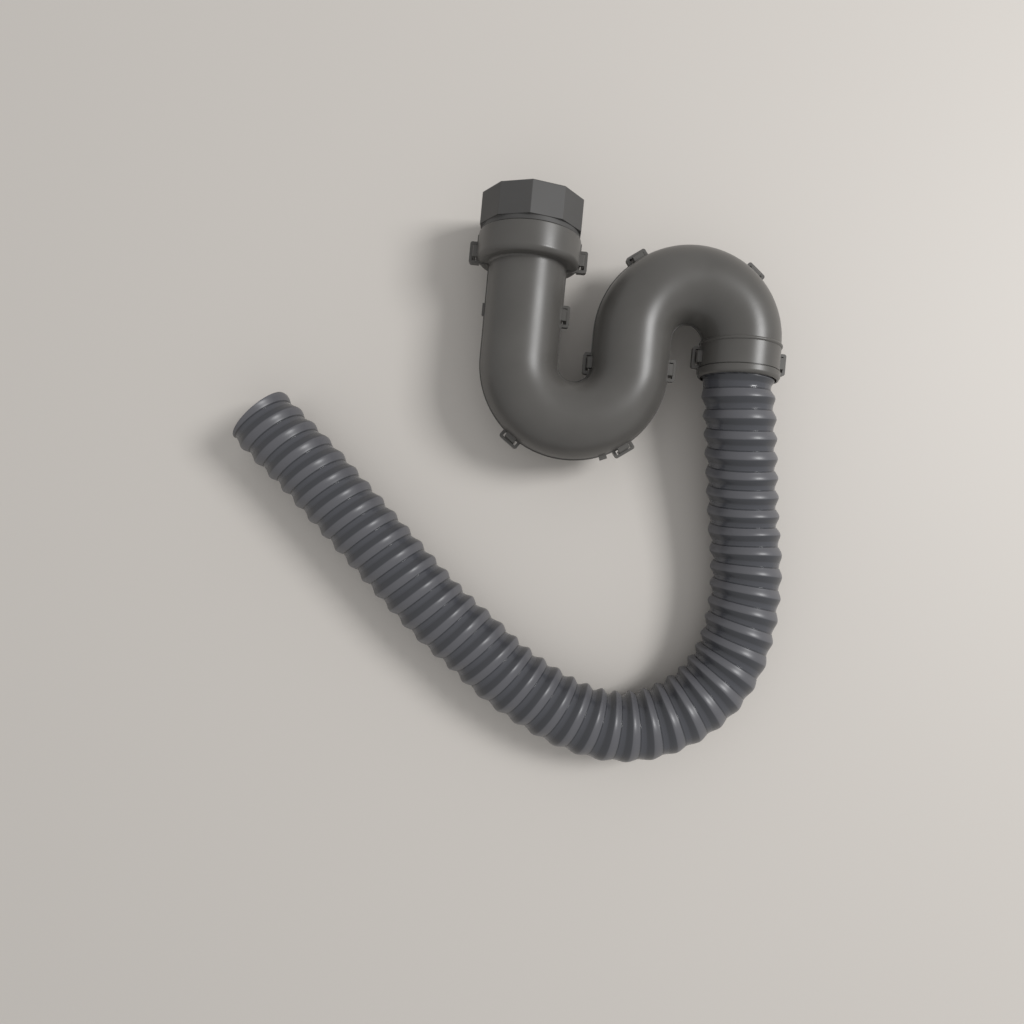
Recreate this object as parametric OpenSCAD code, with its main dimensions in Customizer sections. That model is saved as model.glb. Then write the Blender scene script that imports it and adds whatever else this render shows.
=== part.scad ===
// Sink drain pipe: a ribbed waste hose that a casing of two clipped halves bends into an S trap.
// A ten-sided coupling nut holds the inlet tail, and the hose leaves the casing as a free end.
// The trap is drawn with its parting plane level: z = 0 there, the inlet runs along +Y at x = 0,
// and y = 0 is where the inlet leg meets the lower bend. placed() then lays it on the table.

/* [Hose] */
// Outside diameter of the hose over its ribs
hose_od = 35; // [32:0.5:38]
// Wall of the hose
hose_wall = 2; // [1.2:0.1:3]
// Radial clearance of the hose inside the casing
hose_fit = 0.1; // [0.05:0.05:0.4]

/* [Casing] */
// Wall of both shells
shell_wall = 1.5; // [1.2:0.1:2.2]
// Centreline radius of the lower bend
lower_bend_r = 27.5; // [26:0.5:40]
// Centreline radius of the upper bend
upper_bend_r = 27; // [26:0.5:40]
// Straight length from the lower bend up to the inlet cup
inlet_leg = 46.5; // [36:0.5:90]
// Straight length between the two bends
middle_leg = 18; // [10:0.5:60]
// How far the rear shell's rim stands proud of the front shell
rim_out = 0.5; // [0.3:0.1:1]
// Height of that rim below the parting plane
rim_h = 1.6; // [1.2:0.1:3]
// Depth of the front shell's tongue in the rear shell
tongue_h = 1.1; // [0.6:0.1:2]
// Thickness of the tongue
tongue_w = 0.6; // [0.4:0.05:0.7]

/* [Inlet cup] */
// Outside diameter of the cup
cup_od = 50.8; // [49:0.2:56]
// Length of the cup
cup_len = 14; // [12:0.5:24]
// Rounding of the cup's lower edge
cup_round = 3; // [1:0.5:3.5]
// Fillet between the cup and the inlet leg
neck_fillet = 1; // [0.5:0.1:2]

/* [Outlet collar] */
// Length of the collar
collar_len = 17.5; // [15:0.5:30]
// How far the collar stands proud of the tube
collar_step = 0.2; // [0.1:0.1:1]
// Radius of the bead at the collar's upper end
bead_r = 0.9; // [0.5:0.1:1.5]
// Length of the rolled lip at the mouth
lip_len = 4.2; // [3:0.1:6]
// How far the lip stands proud of the collar
lip_out = 0.6; // [0.3:0.1:1.2]
// Rounding of the lip
lip_round = 1.8; // [0.8:0.1:2]
// Width and depth of the groove above the lip
groove = 0.5; // [0.3:0.1:0.8]
// Extra radius of the mouth round the hose
mouth_flare = 0.8; // [0.3:0.1:1]

/* [Clips] */
// Length of a clip's loop along the seam
clip_len = 10.8; // [9:0.2:14]
// How far a loop stands out from the wall
clip_out = 4; // [3.6:0.1:6]
// Thickness of a loop's bars
clip_bar = 1.4; // [1:0.1:1.8]
// Height of a loop
loop_h = 3.2; // [2:0.1:5]
// Length of a hook along the seam
hook_len = 5.6; // [4:0.2:6]
// Thickness of a hook's leg
hook_leg = 1.3; // [1:0.1:1.6]
// Height of a hook's root above the parting plane
hook_root_h = 2.6; // [1.5:0.1:4]
// Clearance between a hook and its loop
clip_fit = 0.2; // [0.1:0.05:0.3]
// Rise of the cup's clips above its lower edge
cup_clip_rise = 5.2; // [4:0.2:8]
// Drop of the inlet leg's clip below the cup
leg_clip_drop = 22.5; // [14:0.5:26]
// Rise of the middle leg's clips above the lower bend
middle_clip_rise = 2; // [0:0.5:6]
// Rise of the collar's clips above the mouth
collar_clip_rise = 9.5; // [8:0.5:11]
// Turn of the clips on a bend away from its crown, in degrees
bend_clip_turn = 36; // [30:1:44]
// Turn of the last of them
last_clip_turn = 40; // [30:1:44]

/* [Pry lugs] */
// Height of a lug
lug_h = 3; // [2:0.1:4]
// Length and reach of the inlet leg's lug
leg_lug_len = 6; // [3:0.2:10]
leg_lug_out = 1.5; // [1:0.1:3]
// Length and reach of the lower bend's lug
bend_lug_len = 3.6; // [2:0.2:5]
bend_lug_out = 2.2; // [1:0.1:3]
// Turn of the lower bend's lug away from the crown, in degrees
bend_lug_turn = 23; // [5:1:23]

/* [Tail] */
// Thickness of the flange that the nut pulls on
flange_t = 2.5; // [2:0.1:4]
// Outside diameter of the neck inside the nut's floor
neck_od = 34; // [33:0.5:35]
// Bore of the tail
tail_bore = 29; // [26:0.5:30]
// Outside diameter of the socket that holds the hose
socket_od = 41.2; // [40:0.2:43]
// Thickness of the shoulder between the socket and the neck
shoulder_t = 1.7; // [1.2:0.1:3]
// Thickness of the foot that the cup holds
foot_t = 3.5; // [2.5:0.5:5]
// Width of the rib over the foot
rib_w = 1.5; // [1:0.1:2]

/* [Coupling nut] */
// Wall of the nut between its thread and its flats
nut_wall = 5.25; // [4.5:0.25:9]
// Length of the ten-sided part
nut_len = 15.7; // [14:0.1:24]
// Length of the round skirt below it
skirt_len = 2.3; // [1:0.1:4]
// Thickness of the nut's floor
nut_floor = 3; // [2.5:0.1:4]
// Minor diameter of the thread, 1 1/4 inch pipe
thread_minor = 38.952; // [38.5:0.001:40.5]
// Depth of the thread's run-out groove
relief = 0.9; // [0.5:0.1:1.5]
// Chamfer at the nut's mouth
mouth_chamfer = 0.8; // [0.4:0.1:1.5]
// Turn of the nut about its axis, in degrees
nut_turn = -2; // [-18:1:18]
// Thickness of the rubber washer
washer_t = 3; // [2:0.5:4]

/* [Hidden] */
$fn = 96;

// Clearances: of the nut, foot and clips, between the nut and the cup, round the tongue,
// round the flange as it passes the thread, and round the socket
play = 0.3;
gap = 0.4;
tongue_fit = 0.1;
flange_fit = 0.4;
rib_gap = 1.2;
// Rounding of edges that are all but sharp
edge_round = 0.4;
// A length longer than any cut
reach = 400;

// Radii of the tube, cup, collar and hose
hose_r = hose_od / 2;
tube_in = hose_r + hose_fit;
tube_r = tube_in + shell_wall;
cup_r = cup_od / 2;
cup_in = cup_r - shell_wall;
collar_r = tube_r + collar_step;
lip_r = collar_r + lip_out;
mouth_r = tube_in + mouth_flare;
thread_r = thread_minor / 2;
flange_r = thread_r - flange_fit;
socket_r = socket_od / 2;
foot_r = cup_in - play;

// Stations along the inlet leg, from the lower bend up
cup_floor = inlet_leg + shell_wall;
cup_top = inlet_leg + cup_len;
foot_top = cup_floor + foot_t;
nut_low = cup_top + gap;
facets_low = nut_low + skirt_len;
nut_top = facets_low + nut_len;
flange_low = nut_low + nut_floor + play;
flange_top = flange_low + flange_t;
washer_top = flange_top + washer_t;
thread_low = washer_top + play;
body_top = cup_top - play;
socket_top = body_top - shoulder_t;

// Places in the plan
middle_x = 2 * lower_bend_r;
upper_x = middle_x + upper_bend_r;
outlet_x = middle_x + 2 * upper_bend_r;
mouth_y = middle_leg - collar_len;

// The part's box without the free hose, which sets where it stands
nut_flat_r = thread_r + nut_wall;
nut_r = nut_flat_r / cos(18);
skirt_r = nut_flat_r - play;
axis_z = max(nut_r * cos(nut_turn), cup_r);
x_low = -max(cup_r + clip_out, nut_r);
x_high = outlet_x + collar_r + clip_out;
y_low = -(lower_bend_r + tube_r + rim_out);
y_high = max(nut_top, middle_leg + upper_bend_r + tube_r + rim_out);

// Where the clips and lugs sit: x, y and the way each faces
leg_clip_y = inlet_leg - leg_clip_drop;
cup_clip_y = inlet_leg + cup_clip_rise;
collar_clip_y = mouth_y + collar_clip_rise;
clip_places = [
    [-cup_r, cup_clip_y, 180],
    [cup_r, cup_clip_y, 0],
    [tube_r, leg_clip_y, 0],
    on_bend(lower_bend_r, 0, lower_bend_r, -90 - bend_clip_turn),
    on_bend(lower_bend_r, 0, lower_bend_r, -90 + bend_clip_turn),
    [middle_x - tube_r, middle_clip_rise, 180],
    [middle_x + tube_r, middle_clip_rise, 0],
    on_bend(upper_x, middle_leg, upper_bend_r, 90 + bend_clip_turn),
    on_bend(upper_x, middle_leg, upper_bend_r, 90 - last_clip_turn),
    [outlet_x - collar_r, collar_clip_y, 180],
    [outlet_x + collar_r, collar_clip_y, 0],
];
leg_lug_place = [-tube_r, leg_clip_y, 180];
bend_lug_place = on_bend(lower_bend_r, 0, lower_bend_r, -90 + bend_lug_turn);

// Parts of a clip, measured out from the wall
clip_root = 1;
loop_top = play;
loop_low = loop_top + loop_h;
window_out = clip_out - clip_bar;
hook_out = window_out - clip_fit;
hook_in = hook_out - hook_leg;
catch_z = -loop_low - clip_fit;
barb_h = 1.6;
barb_out = hook_out + 0.8;
hook_low = catch_z - barb_h;
loop_corner = 1.2;

// The free hose's centre line, from the mouth of the casing: x, y and the share of the drop to the
// table that is still to come. The first and last points lie beyond the ends and only set the
// directions there: the first mirrors the third, so that the hose leaves the mouth square.
hose_route = [
    [1, 8, 0.98], [0, 0, 1], [1, -8, 0.98], [3, -19, 0.88], [6, -36, 0.6], [9, -53, 0.28],
    [12, -71, 0.05], [15, -89, 0], [16, -105, 0], [15, -122, 0], [11, -140, 0], [2, -156, 0],
    [-12, -169, 0], [-29, -177, 0], [-48, -179, 0], [-67, -175, 0], [-85, -167, 0], [-102, -157, 0],
    [-119, -144, 0], [-135, -132, 0], [-150, -119, 0], [-165, -105, 0], [-180, -91, 0],
    [-195, -77, 0], [-210, -63, 0], [-224, -51, 0], [-238, -39, 0], [-252, -27, 0],
];
ring_sides = 12;
rings_per_span = 3;

function on_bend(x, y, bend_r, turn) =
    [x + (bend_r + tube_r) * cos(turn), y + (bend_r + tube_r) * sin(turn), turn];

// A smooth curve through b and c, with their neighbours a and d
function curve(a, b, c, d, t) =
    (2 * b + (c - a) * t + (2 * a - 5 * b + 4 * c - d) * t * t + (3 * b - a - 3 * c + d) * t * t * t) / 2;
function curve_slope(a, b, c, d, t) =
    ((c - a) + 2 * (2 * a - 5 * b + 4 * c - d) * t + 3 * (3 * b - a - 3 * c + d) * t * t) / 2;
function off_mouth(p) = [outlet_x + p.x, mouth_y + p.y, (p.z - 1) * (axis_z - hose_r)];
function on_table(p) = [p.x, p.y, max(p.z, hose_r - axis_z)];
function unit(v) = v / norm(v);

// Lays the trap on the table, centred, with the nut's lowest corner at z = 0
module placed() {
    translate([-(x_low + x_high) / 2, -(y_low + y_high) / 2, axis_z]) children();
}

// Turns a section about the axis x = at; its own y runs along the row's y
module turned(at) {
    translate([at, 0, 0]) rotate([-90, 0, 0]) rotate_extrude() children();
}

// Carries a section round the S, with straight ends of the lengths given
module along_route(top, tail) {
    translate([0, top, 0]) rotate([90, 0, 0]) linear_extrude(top) children();
    translate([lower_bend_r, 0, 0]) rotate([0, 0, 180]) rotate_extrude(angle = 180)
        translate([lower_bend_r, 0]) children();
    translate([middle_x, middle_leg, 0]) rotate([90, 0, 0]) linear_extrude(middle_leg) children();
    translate([upper_x, middle_leg, 0]) rotate_extrude(angle = 180)
        translate([upper_bend_r, 0]) children();
    if (tail > 0)
        translate([outlet_x, middle_leg, 0]) rotate([90, 0, 0]) linear_extrude(tail) children();
}

module front_side() {
    translate([-reach / 2, -reach / 2, 0]) cube(reach);
}

module rear_side() {
    translate([-reach / 2, -reach / 2, -reach]) cube(reach);
}

// The layer just below the parting plane that the rim fills
module rim_layer() {
    translate([-reach / 2, -reach / 2, -rim_h]) cube([reach, reach, rim_h]);
}

// Half a tube's section; side is 1 in front and -1 behind
module half_ring(side) {
    difference() {
        circle(tube_r);
        circle(tube_in);
        translate([-reach / 2, side > 0 ? -reach : 0]) square(reach);
    }
}

module rim_section() {
    difference() {
        intersection() {
            circle(tube_r + rim_out);
            translate([-reach / 2, -rim_h]) square([reach, rim_h]);
        }
        circle(tube_in);
    }
}

// The tongues on both sides of the tube, grown by fit for the slots that take them
module tongue_section(fit) {
    for (side = [0, 180]) rotate([0, side, 0])
        translate([tube_in - fit, -tongue_h - fit]) square([tongue_w + 2 * fit, tongue_h + 2 * fit]);
}

// A band from the axis out to r, with its outer corners rounded
module rounded_band(r, low, high, low_round, high_round) {
    translate([0, low]) square([r - max(low_round, high_round), high - low]);
    translate([0, low + low_round]) square([r, high - low - low_round - high_round]);
    translate([r - low_round, low + low_round]) circle(low_round);
    translate([r - high_round, high - high_round]) circle(high_round);
}

module cup_section(grow) {
    fillet_low = inlet_leg - neck_fillet;
    difference() {
        union() {
            rounded_band(cup_r + grow, inlet_leg - grow, cup_top, cup_round, edge_round);
            difference() {
                translate([0, fillet_low]) square([tube_r + grow + neck_fillet, neck_fillet]);
                translate([tube_r + grow + neck_fillet, fillet_low - grow]) circle(neck_fillet);
            }
        }
        translate([0, fillet_low - 1]) square([tube_in, cup_len]);
        translate([0, cup_floor]) square([cup_in, cup_len]);
    }
    // The rib that keeps the tail's foot on the cup's floor
    translate([socket_r + rib_gap, foot_top + play / 2])
        square([cup_in - socket_r - rib_gap + play, rib_w]);
}

module collar_section(grow) {
    difference() {
        union() {
            translate([0, mouth_y + lip_len]) square([collar_r + grow, collar_len - lip_len]);
            rounded_band(lip_r + grow, mouth_y, mouth_y + lip_len, lip_round, edge_round);
            translate([collar_r + grow - 0.3, middle_leg - bead_r]) circle(bead_r);
        }
        translate([0, mouth_y - 1]) square([tube_in, collar_len + 2]);
        translate([collar_r + grow - groove, mouth_y + lip_len]) square([reach, groove]);
        polygon([
            [0, mouth_y - 1], [mouth_r, mouth_y - 1], [mouth_r, mouth_y + 1.5],
            [tube_in, mouth_y + 3], [0, mouth_y + 3],
        ]);
    }
}

// The casing's walls on one side of the parting plane
module shell_walls(side) {
    along_route(inlet_leg - neck_fillet, 0) half_ring(side);
    intersection() {
        union() {
            turned(0) cup_section(0);
            turned(outlet_x) collar_section(0);
        }
        if (side > 0) front_side();
        else rear_side();
    }
}

module at_place(place) {
    translate([place.x, place.y, 0]) rotate([0, 0, place.z]) children();
}

// The staple-shaped loop on the rear shell
module clip_loop() {
    translate([0, 0, -loop_low]) linear_extrude(loop_h) difference() {
        union() {
            translate([-clip_root, -clip_len / 2]) square([clip_root + clip_out - loop_corner, clip_len]);
            translate([0, loop_corner - clip_len / 2]) square([clip_out, clip_len - 2 * loop_corner]);
            for (side = [-1, 1])
                translate([clip_out - loop_corner, side * (clip_len / 2 - loop_corner)])
                    circle(loop_corner);
        }
        translate([rim_out, clip_bar - clip_len / 2])
            square([window_out - rim_out, clip_len - 2 * clip_bar]);
    }
}

// The hook on the front shell that drops through the loop and catches under its outer bar
module clip_hook() {
    translate([0, hook_len / 2, 0]) rotate([90, 0, 0]) linear_extrude(hook_len) polygon([
        [-clip_root, play], [hook_in, play], [hook_in, hook_low], [hook_out - 0.2, hook_low],
        [barb_out, catch_z - 0.6], [barb_out, catch_z], [hook_out, catch_z],
        [hook_out, hook_root_h - 0.5], [hook_out - 0.5, hook_root_h], [-clip_root, hook_root_h],
    ]);
}

module pry_lug(place, length, out) {
    at_place(place) translate([-clip_root, -length / 2, -lug_h])
        cube([clip_root + out, length, lug_h - play]);
}

module front_shell() color("dimgray") placed() {
    shell_walls(1);
    along_route(inlet_leg - neck_fillet - play, 0) tongue_section(0);
    for (place = clip_places) at_place(place) clip_hook();
}

module rear_shell() color("gray") placed() difference() {
    union() {
        shell_walls(-1);
        along_route(inlet_leg - neck_fillet, 0) rim_section();
        intersection() {
            union() {
                turned(0) cup_section(rim_out);
                turned(outlet_x) collar_section(rim_out);
            }
            rim_layer();
        }
        for (place = clip_places) at_place(place) clip_loop();
        pry_lug(leg_lug_place, leg_lug_len, leg_lug_out);
        pry_lug(bend_lug_place, bend_lug_len, bend_lug_out);
    }
    along_route(inlet_leg - neck_fillet, play) tongue_section(tongue_fit);
}

module coupling_nut() color("darkslategray") placed() difference() {
    union() {
        translate([0, facets_low, 0]) rotate([-90, 0, 0]) rotate([0, 0, nut_turn - 90])
            cylinder(h = nut_len, r = nut_r, $fn = 10);
        translate([0, nut_low, 0]) rotate([-90, 0, 0]) cylinder(h = skirt_len, r = skirt_r);
    }
    turned(0) {
        translate([0, nut_low - 1]) square([neck_od / 2 + play, reach]);
        translate([0, nut_low + nut_floor]) square([thread_r + relief, thread_low - nut_low - nut_floor]);
        translate([0, thread_low - play]) square([thread_r, nut_top + 1 - thread_low + play]);
        polygon([
            [0, nut_top - mouth_chamfer], [thread_r, nut_top - mouth_chamfer],
            [thread_r + mouth_chamfer + 1, nut_top + 1], [0, nut_top + 1],
        ]);
    }
}

module hose_tail() color("slategray") placed() turned(0) polygon([
    [tail_bore / 2, flange_top], [flange_r, flange_top], [flange_r, flange_low],
    [neck_od / 2, flange_low], [neck_od / 2, body_top], [socket_r - edge_round, body_top],
    [socket_r, body_top - edge_round], [socket_r, foot_top], [foot_r, foot_top],
    [foot_r, cup_floor], [tube_in, cup_floor], [tube_in, socket_top], [tail_bore / 2, socket_top],
]);

module sealing_washer() color("black") placed() turned(0)
    translate([tail_bore / 2, flange_top]) square([flange_r - tail_bore / 2, washer_t]);

// The stretch of hose that the casing holds, up into the tail's socket and down to the mouth
module hose_in_casing() color("lightslategray") placed()
    along_route(socket_top, collar_len) difference() {
        circle(hose_r);
        circle(hose_r - hose_wall);
    }

// The free stretch: rings of points at the outer and inner radius, swept along the route
module hose() color("lightslategray") placed() {
    spans = len(hose_route) - 3;
    count = spans * rings_per_span + 1;
    stations = [for (i = [0:count - 1]) let (span = min(floor(i / rings_per_span), spans - 1))
        [span, (i - span * rings_per_span) / rings_per_span]];
    line = [for (p = hose_route) off_mouth(p)];
    points = [for (r = [hose_r, hose_r - hose_wall], s = stations) let (
        k = s[0],
        centre = on_table(curve(line[k], line[k + 1], line[k + 2], line[k + 3], s[1])),
        ahead = unit(curve_slope(line[k], line[k + 1], line[k + 2], line[k + 3], s[1])),
        side = unit(cross(ahead, [0, 0, 1])),
        up = cross(side, ahead)
    ) for (j = [0:ring_sides - 1]) let (a = j * 360 / ring_sides - 90)
        centre + r * (cos(a) * side + sin(a) * up)];
    inner = count * ring_sides;
    last = (count - 1) * ring_sides;
    walls = [for (i = [0:count - 2], j = [0:ring_sides - 1]) let (
        a = i * ring_sides + j,
        b = i * ring_sides + (j + 1) % ring_sides,
        c = b + ring_sides,
        d = a + ring_sides
    ) each [[a, b, c], [a, c, d], [inner + a, inner + c, inner + b], [inner + a, inner + d, inner + c]]];
    ends = [for (j = [0:ring_sides - 1]) let (a = j, b = (j + 1) % ring_sides) each [
        [a, inner + a, inner + b], [a, inner + b, b],
        [last + a, last + b, inner + last + b], [last + a, inner + last + b, inner + last + a],
    ]];
    polyhedron(points, concat(walls, ends), convexity = 10);
}

front_shell();
rear_shell();
coupling_nut();
hose_tail();
sealing_washer();
hose_in_casing();
hose();
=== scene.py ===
"""Sink drain pipe: a ribbed waste hose in a clip-on S-trap casing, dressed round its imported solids.

The trap lies on a pale table and is seen from straight above. The casing, the tail and the washer
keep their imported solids; the hose and the coupling nut are surfaces worked out here with numpy.
"""
import logging
import math
from dataclasses import dataclass, field
from enum import Enum
from typing import Any

import bpy
import numpy as np
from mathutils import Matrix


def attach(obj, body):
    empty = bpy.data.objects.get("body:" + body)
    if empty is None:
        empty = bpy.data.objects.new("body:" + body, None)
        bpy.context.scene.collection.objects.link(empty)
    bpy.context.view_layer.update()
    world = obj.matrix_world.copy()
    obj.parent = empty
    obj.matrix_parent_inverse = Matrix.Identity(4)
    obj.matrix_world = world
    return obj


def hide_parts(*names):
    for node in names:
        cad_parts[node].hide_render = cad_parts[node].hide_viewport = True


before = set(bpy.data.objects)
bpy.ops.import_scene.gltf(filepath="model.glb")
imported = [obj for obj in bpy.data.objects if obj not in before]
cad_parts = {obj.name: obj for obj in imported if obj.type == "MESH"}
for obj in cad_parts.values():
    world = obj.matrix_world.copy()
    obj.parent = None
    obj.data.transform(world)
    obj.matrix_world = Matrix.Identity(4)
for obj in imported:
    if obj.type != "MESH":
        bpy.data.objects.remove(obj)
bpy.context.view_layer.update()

LOG = logging.getLogger("sink_drain_pipe")
MM = 0.001
TURN = 2 * math.pi


class Body(Enum):
    """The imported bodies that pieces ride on."""

    TRAP = "trap"
    NUT = "nut"


class Slot(Enum):
    """The record's material slots."""

    CASING = "casing_plastic"
    NUT = "nut_plastic"
    TAIL = "tail_plastic"
    SEAL = "seal_rubber"
    HOSE = "hose_pvc"


# Where the trap's own axes, whose origin is the start of the lower bend, lie in the row frame (mm)
TRAP_ORIGIN = np.array([-51.45, -15.9, 25.983])


def linear(colour: str) -> tuple[float, float, float, float]:
    """Turns an sRGB hex colour into a linear RGBA one.

    Args:
        colour: The colour as "#rrggbb".

    Returns:
        Red, green, blue and an alpha of one, as the shader sockets take them.
    """
    parts = (int(colour[i:i + 2], 16) / 255 for i in (1, 3, 5))
    return (*(c / 12.92 if c <= 0.04045 else ((c + 0.055) / 1.055) ** 2.4 for c in parts), 1.0)


def add(tree: bpy.types.NodeTree, kind: str, inputs: dict[Any, Any] | None = None,
        **settings: Any) -> bpy.types.Node:
    """Adds one node with its settings and links.

    Args:
        tree: The node tree.
        kind: The node's type, such as ShaderNodeTexNoise.
        inputs: What each input takes, by name or number: a value, or a socket to link from.
        **settings: The node's own properties.

    Returns:
        The new node.
    """
    node = tree.nodes.new(kind)
    for name, value in settings.items():
        setattr(node, name, value)
    for key, value in (inputs or {}).items():
        if isinstance(value, bpy.types.NodeSocket):
            tree.links.new(value, node.inputs[key])
        else:
            node.inputs[key].default_value = value
    return node


def ramp(node: bpy.types.Node, stops: list[tuple[float, Any]]) -> bpy.types.NodeSocket:
    """Sets a colour ramp's stops and returns its colour output.

    Args:
        node: The colour ramp node.
        stops: Place and value of each stop; the value is a grey or a hex colour.
    """
    elements = node.color_ramp.elements
    while len(elements) > 1:
        elements.remove(elements[-1])
    for i, (place, value) in enumerate(stops):
        element = elements[0] if i == 0 else elements.new(place)
        element.position = place
        element.color = linear(value) if isinstance(value, str) else (value, value, value, 1.0)
    return node.outputs["Color"]


def new_material(name: str) -> tuple[bpy.types.Material, bpy.types.NodeTree, bpy.types.Node]:
    """Makes an empty node material with a Principled shader and returns it, its tree and the shader."""
    material = bpy.data.materials.new(name)
    material.use_nodes = True
    tree = material.node_tree
    tree.nodes.clear()
    shader = add(tree, "ShaderNodeBsdfPrincipled")
    add(tree, "ShaderNodeOutputMaterial", {"Surface": shader.outputs["BSDF"]})
    return material, tree, shader


@dataclass(frozen=True)
class MouldedPlastic:
    """Injection-moulded polypropylene: a satin skin with a fine eroded grain and faint flow clouds."""

    name: str
    colour: str
    cloud_colour: str
    roughness: float
    grain_mm: float = 0.7
    grain_depth: float = 0.12

    def make(self) -> bpy.types.Material:
        """Builds the node material.

        Returns:
            The material.
        """
        material, tree, shader = new_material(self.name)
        place = add(tree, "ShaderNodeTexCoord").outputs["Object"]
        clouds = add(tree, "ShaderNodeTexNoise", {"Vector": place, "Scale": 1 / (26 * MM), "Detail": 5.0})
        grain = add(tree, "ShaderNodeTexNoise", {"Vector": place, "Scale": 1 / (self.grain_mm * MM), "Detail": 2.0})
        shade = add(tree, "ShaderNodeValToRGB", {"Fac": clouds.outputs["Fac"]})
        tint = ramp(shade, [(0.32, self.colour), (0.68, self.cloud_colour)])
        tree.links.new(tint, shader.inputs["Base Color"])
        rough = add(tree, "ShaderNodeMapRange", {
            "Value": clouds.outputs["Fac"], "From Min": 0.3, "From Max": 0.7,
            "To Min": self.roughness - 0.05, "To Max": self.roughness + 0.06})
        tree.links.new(rough.outputs["Result"], shader.inputs["Roughness"])
        bump = add(tree, "ShaderNodeBump", {
            "Height": grain.outputs["Fac"], "Strength": self.grain_depth, "Distance": 0.1 * MM})
        tree.links.new(bump.outputs["Normal"], shader.inputs["Normal"])
        return material


@dataclass(frozen=True)
class HosePvc:
    """Spiral-wound PVC hose: smooth paler bands, darker flanks and a glossy web in the valley."""

    name: str = "spiral_wound_pvc"
    # Band, flank and web tones are partly the strips' own colour and partly painted light: the rising band is
    # painted lighter as if lit, the falling flank darker as if in shade
    band: str = "#5a5a5e"
    flank: str = "#3d3e42"
    web: str = "#4a4b50"

    def make(self) -> bpy.types.Material:
        """Builds the node material, which reads the hose's own UV map: around in x, ribs along in y.

        Returns:
            The material.
        """
        material, tree, shader = new_material(self.name)
        uv = add(tree, "ShaderNodeUVMap", uv_map="ribs")
        split = add(tree, "ShaderNodeSeparateXYZ", {"Vector": uv.outputs["UV"]})
        phase = add(tree, "ShaderNodeMath", {0: split.outputs["Y"]}, operation="FRACT").outputs["Value"]
        # Painted light in the tint: the band is lighter as if lit, the flank darker as if shaded, and the flank's
        # dark runs across the crease from 0.97 to 0.03 as a painted shade line in the fold
        tint = ramp(add(tree, "ShaderNodeValToRGB", {"Fac": phase}), [
            (0.0, self.flank), (0.03, self.band), (0.37, self.band), (0.41, self.flank),
            (0.68, self.flank), (0.75, self.web), (0.93, self.web), (0.97, self.flank)])
        tree.links.new(tint, shader.inputs["Base Color"])
        gloss = ramp(add(tree, "ShaderNodeValToRGB", {"Fac": phase}), [
            (0.0, 0.36), (0.37, 0.36), (0.42, 0.30), (0.70, 0.30), (0.76, 0.20), (0.95, 0.20)])
        tree.links.new(gloss, shader.inputs["Roughness"])
        return material


@dataclass(frozen=True)
class Rubber:
    """Moulded EPDM rubber: black and dull, with a faint bloom."""

    name: str = "moulded_epdm_rubber"
    colour: str = "#242424"
    bloom: str = "#2f2e2d"

    def make(self) -> bpy.types.Material:
        """Builds the node material.

        Returns:
            The material.
        """
        material, tree, shader = new_material(self.name)
        place = add(tree, "ShaderNodeTexCoord").outputs["Object"]
        clouds = add(tree, "ShaderNodeTexNoise", {"Vector": place, "Scale": 1 / (4 * MM), "Detail": 4.0})
        tint = ramp(add(tree, "ShaderNodeValToRGB", {"Fac": clouds.outputs["Fac"]}),
                    [(0.35, self.colour), (0.65, self.bloom)])
        tree.links.new(tint, shader.inputs["Base Color"])
        shader.inputs["Roughness"].default_value = 0.75
        return material


@dataclass(frozen=True)
class TableTop:
    """A painted table top: matt, warm and pale."""

    name: str = "painted_table_top"
    colour: str = "#cdc8c2"

    def make(self) -> bpy.types.Material:
        """Builds the material.

        Returns:
            The material.
        """
        material, _, shader = new_material(self.name)
        shader.inputs["Base Color"].default_value = linear(self.colour)
        shader.inputs["Roughness"].default_value = 0.6
        return material


def make_piece(name: str, points: np.ndarray, faces: np.ndarray, uvs: np.ndarray | None = None,
               uv_name: str = "surface") -> bpy.types.Object:
    """Puts whole arrays into a new mesh object at the origin.

    Args:
        name: The piece's name.
        points: Vertices in the row frame, in metres, as an array of n by 3.
        faces: Vertex numbers, as an array of m by 3 or m by 4, counter-clockwise from outside.
        uvs: One UV for each face corner, or None.
        uv_name: The UV map's name.

    Returns:
        The object, linked to the scene and smooth shaded.
    """
    mesh = bpy.data.meshes.new(name)
    sides = faces.shape[1]
    mesh.vertices.add(len(points))
    mesh.vertices.foreach_set("co", points.astype(np.float32).ravel())
    mesh.loops.add(faces.size)
    mesh.loops.foreach_set("vertex_index", faces.astype(np.int32).ravel())
    mesh.polygons.add(len(faces))
    mesh.polygons.foreach_set("loop_start", np.arange(0, faces.size, sides, dtype=np.int32))
    mesh.polygons.foreach_set("use_smooth", np.ones(len(faces), dtype=bool))
    if uvs is not None:
        layer = mesh.uv_layers.new(name=uv_name)
        layer.data.foreach_set("uv", uvs.astype(np.float32).ravel())
    mesh.update(calc_edges=True)
    mesh.validate()
    piece = bpy.data.objects.new(name, mesh)
    bpy.context.scene.collection.objects.link(piece)
    return piece


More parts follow.
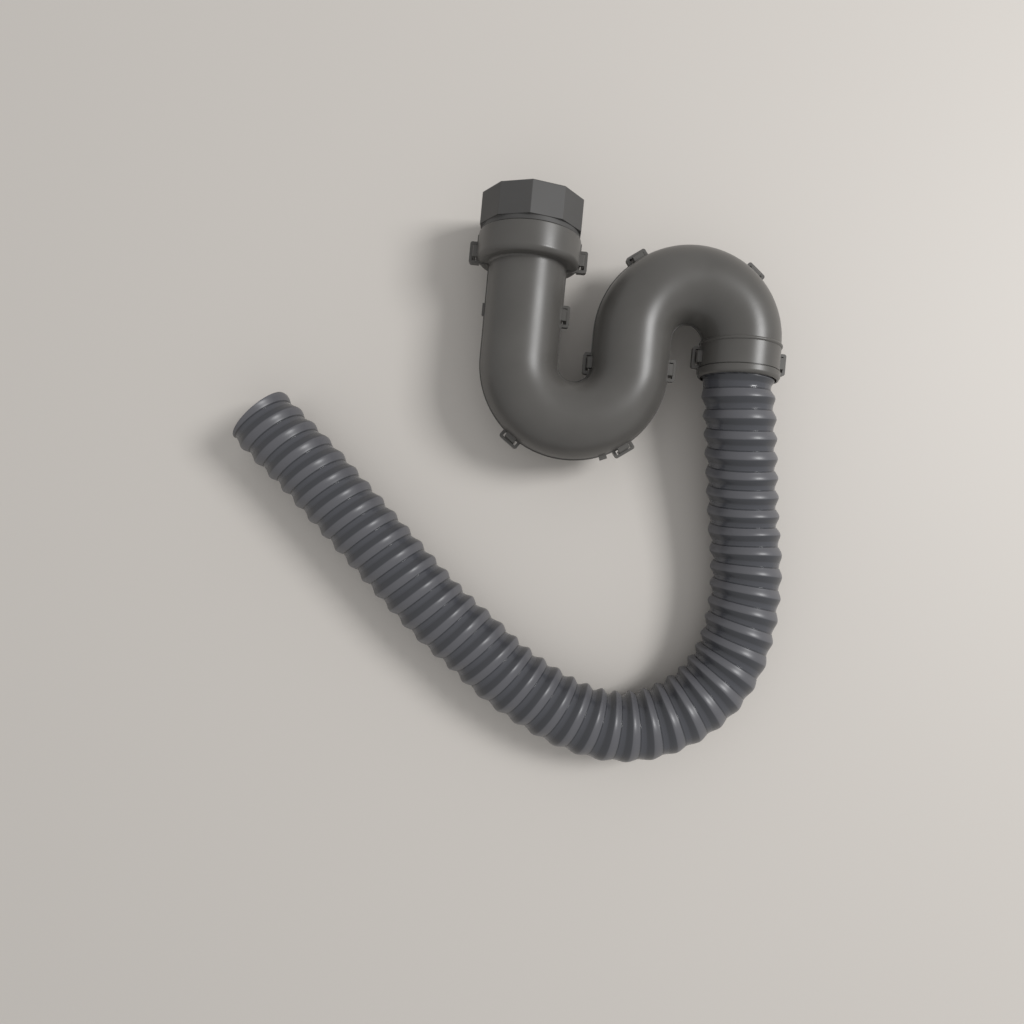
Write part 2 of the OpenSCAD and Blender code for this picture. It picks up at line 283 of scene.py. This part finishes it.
@dataclass
class HoseLine:
    """The hose's centre line: round the S inside the casing, then over the table.

    The line is kept as points every quarter millimetre or so, with the length run up to each.
    """

    inlet_top: float = 58.5
    lower_bend: float = 27.5
    upper_bend: float = 27.0
    middle_leg: float = 18.0
    mouth: tuple[float, float] = (109.0, 0.5)
    hose_r: float = 17.5
    # The free route from the mouth: x, y and the share of the drop to the table still to come
    route: np.ndarray = field(default_factory=lambda: np.array([
        [1, 8, 0.98], [0, 0, 1], [1, -8, 0.98], [3, -19, 0.88], [6, -36, 0.6], [9, -53, 0.28],
        [12, -71, 0.05], [15, -89, 0], [16, -105, 0], [15, -122, 0], [11, -140, 0], [2, -156, 0],
        [-12, -169, 0], [-29, -177, 0], [-48, -179, 0], [-67, -175, 0], [-85, -167, 0], [-102, -157, 0],
        [-119, -144, 0], [-135, -132, 0], [-150, -119, 0], [-165, -105, 0], [-180, -91, 0],
        [-195, -77, 0], [-210, -63, 0], [-224, -51, 0], [-238, -39, 0], [-252, -27, 0]], float))

    def __post_init__(self) -> None:
        """Works out the points, the length run to each, and where the free stretch starts."""
        held, free = self.held_line(), self.free_line()
        self.points = np.vstack([held, free[1:]]) + TRAP_ORIGIN
        steps = np.linalg.norm(np.diff(self.points, axis=0), axis=1)
        self.run = np.concatenate([[0.0], np.cumsum(steps)])
        self.mouth_run = float(self.run[len(held) - 1])
        self.end_run = float(self.run[-1])

    def held_line(self) -> np.ndarray:
        """The S in the casing: two straight legs, two half circles and the outlet leg.

        Returns:
            Points in the trap's axes, in mm.
        """
        turn = np.linspace(0, math.pi, 400)[:, None]
        flat = np.zeros_like(turn)
        middle_x = 2 * self.lower_bend
        upper_x = middle_x + self.upper_bend
        straight = np.linspace(0, 1, 120)[:, None]
        inlet = np.hstack([0 * straight, self.inlet_top * (1 - straight), 0 * straight])
        lower = np.hstack([self.lower_bend * (1 - np.cos(turn)), -self.lower_bend * np.sin(turn), flat])
        middle = np.hstack([middle_x + 0 * straight, self.middle_leg * straight, 0 * straight])
        upper = np.hstack([upper_x - self.upper_bend * np.cos(turn),
                           self.middle_leg + self.upper_bend * np.sin(turn), flat])
        drop = self.middle_leg + (self.mouth[1] - self.middle_leg) * straight
        outlet = np.hstack([self.mouth[0] + 0 * straight, drop, 0 * straight])
        return np.vstack([inlet, lower[1:], middle[1:], upper[1:], outlet[1:]])

    def free_line(self) -> np.ndarray:
        """The free route: a smooth cubic through each pair of route points, kept off the table.

        Returns:
            Points in the trap's axes, in mm.
        """
        fall = TRAP_ORIGIN[2] - self.hose_r
        line = np.column_stack([self.mouth[0] + self.route[:, 0], self.mouth[1] + self.route[:, 1],
                                (self.route[:, 2] - 1) * fall])
        t = np.linspace(0, 1, 72, endpoint=False)[None, :, None]
        a, b, c, d = (line[i:len(line) - 3 + i, None, :] for i in range(4))
        spans = (2 * b + (c - a) * t + (2 * a - 5 * b + 4 * c - d) * t**2
                 + (3 * b - a - 3 * c + d) * t**3) / 2
        points = np.vstack([spans.reshape(-1, 3), line[-2]])
        points[:, 2] = np.maximum(points[:, 2], -fall)
        return points

    def frames(self, run: np.ndarray) -> tuple[np.ndarray, np.ndarray, np.ndarray, np.ndarray]:
        """Centre, side, up and bend vectors at lengths along the line.

        The side is square to the line and level, up is square to both, and the bend vector points
        to the inside of the curve, one over the radius long.

        Args:
            run: Lengths along the line, in mm, of any shape.

        Returns:
            Four arrays with one more axis of three than run.
        """
        def along(values: np.ndarray, at: np.ndarray) -> np.ndarray:
            return np.stack([np.interp(at, self.run, values[:, k]) for k in range(3)], axis=-1)

        reach = 1.0
        low, high = np.maximum(run - reach, 0), np.minimum(run + reach, self.end_run)
        centre = along(self.points, run)
        before, after = along(self.points, low), along(self.points, high)
        ahead = (after - before) / np.linalg.norm(after - before, axis=-1, keepdims=True)
        side = np.cross(ahead, [0, 0, 1])
        side /= np.linalg.norm(side, axis=-1, keepdims=True)
        wide = 6.0
        back, on = np.clip(run - wide, 0, None), np.clip(run + wide, None, self.end_run)
        mid = (back + on) / 2
        arm = ((on - back) / 2)[..., None]
        bend = (along(self.points, on) - 2 * along(self.points, mid) + along(self.points, back)) / arm**2
        return centre, side, np.cross(side, ahead), bend


@dataclass
class RibbedHose:
    """A stretch of the ribbed hose: a helical rib of one profile carried along the hose's line.

    The rib's phase runs on from the held stretch to the free one, so the two meet as one hose.
    """

    name: str
    line: HoseLine
    start: float
    end: float
    body: Body
    columns: int = 72
    radius: float = 17.5
    wall: float = 0.9
    # Rib spacing along the hose: length run in mm, and spacing there
    spacing: tuple[tuple[float, float], ...] = ((0, 9.6), (290, 9.6), (400, 10.0), (722, 10.1))
    phase: float = 0.0
    # The rib's profile: share of the spacing, and depth below the crest in mm
    profile: tuple[tuple[float, float], ...] = (
        (0.0, 1.42), (0.03, 1.3), (0.07, 1.12), (0.12, 0.85), (0.18, 0.54), (0.24, 0.28), (0.3, 0.1),
        (0.35, 0.01), (0.39, 0.02), (0.43, 0.1), (0.48, 0.26), (0.53, 0.47), (0.58, 0.7), (0.63, 0.94),
        (0.68, 1.17), (0.73, 1.3), (0.79, 1.5), (0.85, 1.66), (0.91, 1.74), (0.95, 1.72), (0.97, 1.9),
        (0.985, 1.66))
    inner_steps: tuple[float, ...] = (0.0, 0.25, 0.5, 0.75)

    def phase_at(self, run: np.ndarray) -> np.ndarray:
        """Counts ribs along the line: the integral of one over the spacing."""
        table = np.linspace(0, self.line.end_run, 4000)
        gap = np.interp(table, *np.array(self.spacing).T)
        count = np.concatenate([[0.0], np.cumsum(np.diff(table) * 2 / (gap[1:] + gap[:-1]))]) + self.phase
        return np.interp(run, table, count)

    def run_at(self, phase: np.ndarray) -> np.ndarray:
        """The length along the line at which the rib count is reached, run on straight past the ends."""
        table = np.linspace(0, self.line.end_run, 4000)
        count = self.phase_at(table)
        inside = np.interp(phase, count, table)
        first, last = self.spacing[0][1], self.spacing[-1][1]
        return (inside + np.minimum(phase - count[0], 0) * first + np.maximum(phase - count[-1], 0) * last)

    def depth(self, share: np.ndarray, smooth: bool) -> np.ndarray:
        """Depth below the crest at a share of the spacing; the inner wall takes its first harmonic.

        Args:
            share: Phase from 0 to 1.
            smooth: True for the inner wall.

        Returns:
            Depth in mm.
        """
        if smooth:
            return 0.9 - 0.8 * np.cos(TURN * (share - 0.37))
        places, depths = np.array(self.profile).T
        return np.interp(share, np.append(places, 1.0), np.append(depths, depths[0]))

    def sleeve(self, steps: np.ndarray, inner: bool) -> tuple[np.ndarray, ...]:
        """One wall of the hose, on a grid whose rows run along the helix.

        Row m holds the phase p and column j the angle a = 360 j / columns; the point's run along
        the line is where the rib count reaches p + a / 360, held between the two ends, and its
        distance from the line is the radius less the profile's depth at that phase. The last
        column is the first one a whole rib further on, so the wall closes on itself.

        Args:
            steps: The phases within one rib that rows are laid at.
            inner: True for the inner wall.

        Returns:
            Points, triangles, corner UVs, and the vertex numbers of the first and last rings.
        """
        low, high = self.phase_at(np.array([self.start, self.end]))
        ribs = np.arange(math.floor(low) - 2, math.ceil(high) + 2)
        phases = (ribs[:, None] + steps[None, :]).ravel()
        angles = np.linspace(0, TURN, self.columns + 1)
        wanted = self.run_at(phases[:, None] + angles[None, :] / TURN)
        run = np.clip(wanted, self.start, self.end)
        phase = self.phase_at(run) - angles[None, :] / TURN
        share = phase - np.floor(phase)
        share[np.isclose(share, 1.0, atol=1e-6)] = 0.0
        centre, side, up, bend = self.line.frames(run)
        out = np.cos(angles)[None, :, None] * side + np.sin(angles)[None, :, None] * up
        squeeze = (bend * out).sum(-1) * self.radius
        depth = self.depth(share, inner)
        depth = depth * np.clip(1 + 1.1 * squeeze, 0.45, 1.8)
        radius = self.radius - depth - (self.wall if inner else 0)
        points = (centre + radius[..., None] * out) * MM

        rows, last = len(phases), self.columns
        first_row = (wanted > self.start).argmax(0) - 1
        last_row = (wanted >= self.end).argmax(0)
        row = np.arange(rows)[:, None]
        held = np.clip(row, first_row[None, :], last_row[None, :])
        number = held * last + np.arange(last + 1)[None, :]
        number[:, last] = np.clip(np.arange(rows) + len(steps), first_row[0], last_row[0]) * last
        corner = np.stack([number[:-1, :-1], number[1:, :-1], number[1:, 1:], number[:-1, 1:]], -1)
        uv = np.stack(np.broadcast_arrays(angles[None, :] / TURN, phase), -1)
        uv = np.take_along_axis(uv, np.repeat(held[..., None], 2, -1), 0)
        corner_uv = np.stack([uv[:-1, :-1], uv[1:, :-1], uv[1:, 1:], uv[:-1, 1:]], -2)
        order = np.array([[0, 1, 2], [0, 2, 3]])
        tris = corner[..., order].reshape(-1, 3)
        tri_uv = corner_uv[..., order, :].reshape(-1, 3, 2)
        a, b, c = tris.T
        keep = (a != b) & (b != c) & (a != c)
        tris, tri_uv = tris[keep], tri_uv[keep]
        if inner:
            tris, tri_uv = tris[:, ::-1], tri_uv[:, ::-1]
        grid = points[:, :last].reshape(-1, 3)
        used, compact = np.unique(tris, return_inverse=True)
        place = np.full(len(grid), -1)
        place[used] = np.arange(len(used))
        rings = [place[rows_of[:last] * last + np.arange(last)] for rows_of in (first_row, last_row)]
        return grid[used], compact.reshape(-1, 3), tri_uv, rings[0], rings[1]

    def build(self) -> bpy.types.Object:
        """Joins the two walls and the two cut ends into one closed piece.

        Returns:
            The hose, riding on its body.
        """
        places = np.array([p for p, _ in self.profile])
        outer, outer_tris, outer_uv, outer_low, outer_high = self.sleeve(places, False)
        inner, inner_tris, inner_uv, inner_low, inner_high = self.sleeve(np.array(self.inner_steps), True)
        shift = len(outer)
        caps, cap_uvs = [], []
        for rim, bore, flip in ((outer_low, inner_low + shift, False), (outer_high, inner_high + shift, True)):
            next_rim, next_bore = np.roll(rim, -1), np.roll(bore, -1)
            cap = np.vstack([np.column_stack([rim, next_rim, next_bore]),
                             np.column_stack([rim, next_bore, bore])])
            caps.append(cap[:, ::-1] if flip else cap)
            cap_uvs.append(np.full((len(cap), 3, 2), 0.9))
        piece = make_piece(self.name, np.vstack([outer, inner]),
                           np.vstack([outer_tris, inner_tris + shift, *caps]),
                           np.concatenate([outer_uv, inner_uv, *cap_uvs]), "ribs")
        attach(piece, self.body.value)
        return piece


@dataclass
class CouplingNut:
    """The ten-sided coupling nut: flats with softened edges over a round skirt, threaded inside.

    Lengths are in mm and run up the inlet from the start of the lower bend.
    """

    flats: float = 24.726
    sides: int = 10
    turn: float = math.radians(-2)
    skirt: float = 24.426
    low: float = 60.9
    facets_low: float = 63.2
    top: float = 78.9
    corner_round: float = 0.6
    edge_round: float = 0.45
    neck: float = 17.3
    floor_top: float = 63.9
    relief: float = 20.376
    thread_low: float = 70.0
    thread_minor: float = 19.476
    thread_depth: float = 1.479
    thread_pitch: float = 2.309
    chamfer: float = 0.8

    def angles(self) -> np.ndarray:
        """Column angles from straight up towards +X: close together round each corner."""
        offsets = np.radians([0, 0.14, 0.28, 0.41, 0.7, 2.5, 5.5, 9, 12.5, 15.5, 18, 20.5, 23.5, 27, 30.5,
                              33.5, 35.3, 35.59, 35.72, 35.86])
        return (self.turn + TURN / self.sides * np.arange(self.sides)[:, None] + offsets).ravel()

    def decagon(self, angles: np.ndarray, inset: float) -> np.ndarray:
        """Distance from the axis to a rounded ten-sided outline, drawn in by an inset.

        On a flat it is the apothem over the cosine of the angle from the flat's middle. Round a
        corner it is where the ray meets the rounding circle.

        Args:
            angles: Column angles.
            inset: How far the outline is drawn in.

        Returns:
            Radii in mm, one for each angle.
        """
        half = math.pi / self.sides
        flat_r = self.flats - inset
        rounding = max(self.corner_round - inset, 0.15)
        from_corner = (angles - self.turn + half) % (2 * half) - half
        from_flat = half - np.abs(from_corner)
        centre = (flat_r - rounding) / math.cos(half)
        arc = (centre * np.cos(from_corner)
               + np.sqrt(np.maximum(rounding**2 - (centre * np.sin(from_corner))**2, 0)))
        on_flat = flat_r * np.tan(from_flat) <= (flat_r - rounding) * math.tan(half)
        return np.where(on_flat, flat_r / np.cos(from_flat), arc)

    def thread_wall(self, heights: np.ndarray, angles: np.ndarray) -> np.ndarray:
        """Radius of the threaded bore: a rounded V groove on a right-hand helix.

        The groove's share is a triangle wave of height over pitch less angle over a turn, its tips
        flattened and rounded. It runs out into the relief below and into the chamfer at the mouth.

        Args:
            heights: Heights of the rows.
            angles: Column angles.

        Returns:
            Radii in mm, rows by columns.
        """
        phase = heights[:, None] / self.thread_pitch - angles[None, :] / TURN
        wave = np.abs(2 * (phase - np.floor(phase)) - 1)
        share = np.clip(wave * 1.3 - 0.15, 0, 1)
        share = share * share * (3 - 2 * share)
        run_out = np.clip((heights - self.thread_low) / 1.2, 0, 1)[:, None]
        depth = share * (0.6 + 0.4 * run_out) * self.thread_depth
        cone = self.thread_minor + np.maximum(heights - self.top + self.chamfer, 0)[:, None]
        return np.maximum(self.thread_minor + depth, cone)

    def build(self) -> bpy.types.Object:
        """Carries the section round the axis: skirt, flats, top, thread, relief, floor and neck.

        Returns:
            The nut, riding on its own body.
        """
        angles = self.angles()
        ones = np.ones_like(angles)
        bevel = np.radians(np.linspace(0, 90, 5))
        e = self.edge_round
        rows = [(ones * (self.skirt - 0.6), self.low), (ones * (self.skirt - 0.25), self.low),
                (ones * (self.skirt - 0.07), self.low + 0.07), (ones * self.skirt, self.low + 0.25),
                (ones * self.skirt, self.low + 0.6), (ones * self.skirt, self.facets_low - 0.3),
                (ones * self.skirt, self.facets_low)]
        rows += [(self.decagon(angles, 0.28), self.facets_low)]
        rows += [(self.decagon(angles, 0.2 * (1 - math.sin(b))), self.facets_low + 0.2 * (1 - math.cos(b)))
                 for b in bevel]
        rows += [(self.decagon(angles, 0), self.facets_low + 0.6), (self.decagon(angles, 0), self.top - 2 * e)]
        rows += [(self.decagon(angles, e * (1 - math.cos(b))), self.top - e * (1 - math.sin(b))) for b in bevel]
        rows += [(self.decagon(angles, 2 * e), self.top), (ones * 22.0, self.top), (ones * 21.2, self.top)]
        heights = np.linspace(self.top, self.thread_low, 54)
        rows += list(zip(self.thread_wall(heights, angles), heights))
        rows += [(ones * self.relief, self.thread_low - 0.05), (ones * self.relief, self.floor_top + 0.3),
                 (ones * self.relief, self.floor_top), (ones * (self.relief - 0.3), self.floor_top),
                 (ones * (self.neck + 0.3), self.floor_top), (ones * self.neck, self.floor_top),
                 (ones * self.neck, self.floor_top - 0.3), (ones * self.neck, self.low + 0.3),
                 (ones * self.neck, self.low), (ones * (self.neck + 0.3), self.low)]
        radius = np.array([r for r, _ in rows])
        height = np.array([h for _, h in rows])[:, None]
        points = np.stack([radius * np.sin(angles), height + 0 * radius, radius * np.cos(angles)], -1)
        grid = np.arange(radius.size).reshape(radius.shape)
        ahead, beside = np.roll(grid, -1, 0), np.roll(grid, -1, 1)
        quads = np.stack([grid, beside, np.roll(ahead, -1, 1), ahead], -1).reshape(-1, 4)
        nut = make_piece("ten_sided_nut", (points.reshape(-1, 3) + TRAP_ORIGIN) * MM, quads)
        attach(nut, Body.NUT.value)
        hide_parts("coupling_nut")
        return nut


@dataclass
class Studio:
    """The pale table, the soft light and the camera straight above."""

    camera_at: tuple[float, float, float] = (-0.04789, -0.09109, 0.3862)
    camera_turn: float = math.radians(5.3)
    lens: float = 725 / 1024 * 36

    def set_camera(self) -> None:
        """Puts the camera where the photograph was taken from."""
        data = bpy.data.cameras.new("camera")
        data.lens, data.sensor_width = self.lens, 36
        data.clip_start, data.clip_end = 0.01, 20
        camera = bpy.data.objects.new("camera", data)
        camera.location = self.camera_at
        camera.rotation_euler = (0, 0, self.camera_turn)
        bpy.context.scene.collection.objects.link(camera)
        bpy.context.scene.camera = camera

    def set_light(self) -> None:
        """Lights the table: a grey world all round and one soft lamp from the right."""
        world = bpy.data.worlds.new("room")
        world.use_nodes = True
        world.node_tree.nodes["Background"].inputs["Color"].default_value = (1, 1, 1, 1)
        world.node_tree.nodes["Background"].inputs["Strength"].default_value = 0.55
        bpy.context.scene.world = world
        data = bpy.data.lights.new("key", "AREA")
        data.shape, data.size, data.energy = "SQUARE", 0.5, 16
        lamp = bpy.data.objects.new("key", data)
        lamp.location = (1.05, 0.37, 1.2)
        away = -np.array(lamp.location)
        lamp.rotation_euler = (
            math.atan2(math.hypot(away[0], away[1]), -away[2]), 0, math.atan2(away[1], away[0]) - math.pi / 2)
        bpy.context.scene.collection.objects.link(lamp)
        bpy.context.scene.view_settings.view_transform = "Standard"

    def lay_table(self) -> None:
        """Lays the table top under the part."""
        half = 3.0
        corners = np.array([[-half, -half, 0], [half, -half, 0], [half, half, 0], [-half, half, 0]])
        table = make_piece("table_top", corners, np.array([[0, 1, 2, 3]]))
        table.data.materials.append(TableTop().make())


def main() -> None:
    """Builds the studio and every piece in order."""
    logging.basicConfig(level=logging.INFO)
    bpy.context.scene.view_settings.view_transform = "Standard"
    studio = Studio()
    studio.set_camera()
    line = HoseLine()
    pvc = HosePvc().make()
    free = RibbedHose("drain_hose", line, line.mouth_run, line.end_run, Body.TRAP).build()
    held = RibbedHose("held_hose", line, 0.0, line.mouth_run, Body.TRAP).build()
    for piece in (free, held):
        piece.data.materials.append(pvc)
        LOG.info("%s: %d triangles", piece.name, len(piece.data.polygons))
    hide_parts("hose")
    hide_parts("hose_in_casing")
    at = np.linspace(line.mouth_run, line.end_run, 160)
    path = line.frames(at)[0] * MM
    finishes = {
        "front_shell": MouldedPlastic("moulded_polypropylene", "#514f4c", "#575552", 0.36),
        # The rear shell's copy of the plastic is a step darker than the front's: painted shade for the lower half,
        # which lies under the front shell
        "rear_shell": MouldedPlastic("moulded_polypropylene_rear_painted_shade", "#504e4b", "#565451", 0.36),
        "hose_tail": MouldedPlastic("moulded_tail_plastic", "#4b4a48", "#504f4d", 0.5),
        "sealing_washer": Rubber(),
    }
    for node, finish in finishes.items():
        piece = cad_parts[node]
        piece.data.materials.clear()
        piece.data.materials.append(finish.make())
    nut = CouplingNut().build()
    nut.data.materials.append(MouldedPlastic("moulded_nut_plastic", "#454443", "#4a4948", 0.55).make())
    studio.set_light()
    studio.lay_table()


if __name__ == "__main__":
    main()
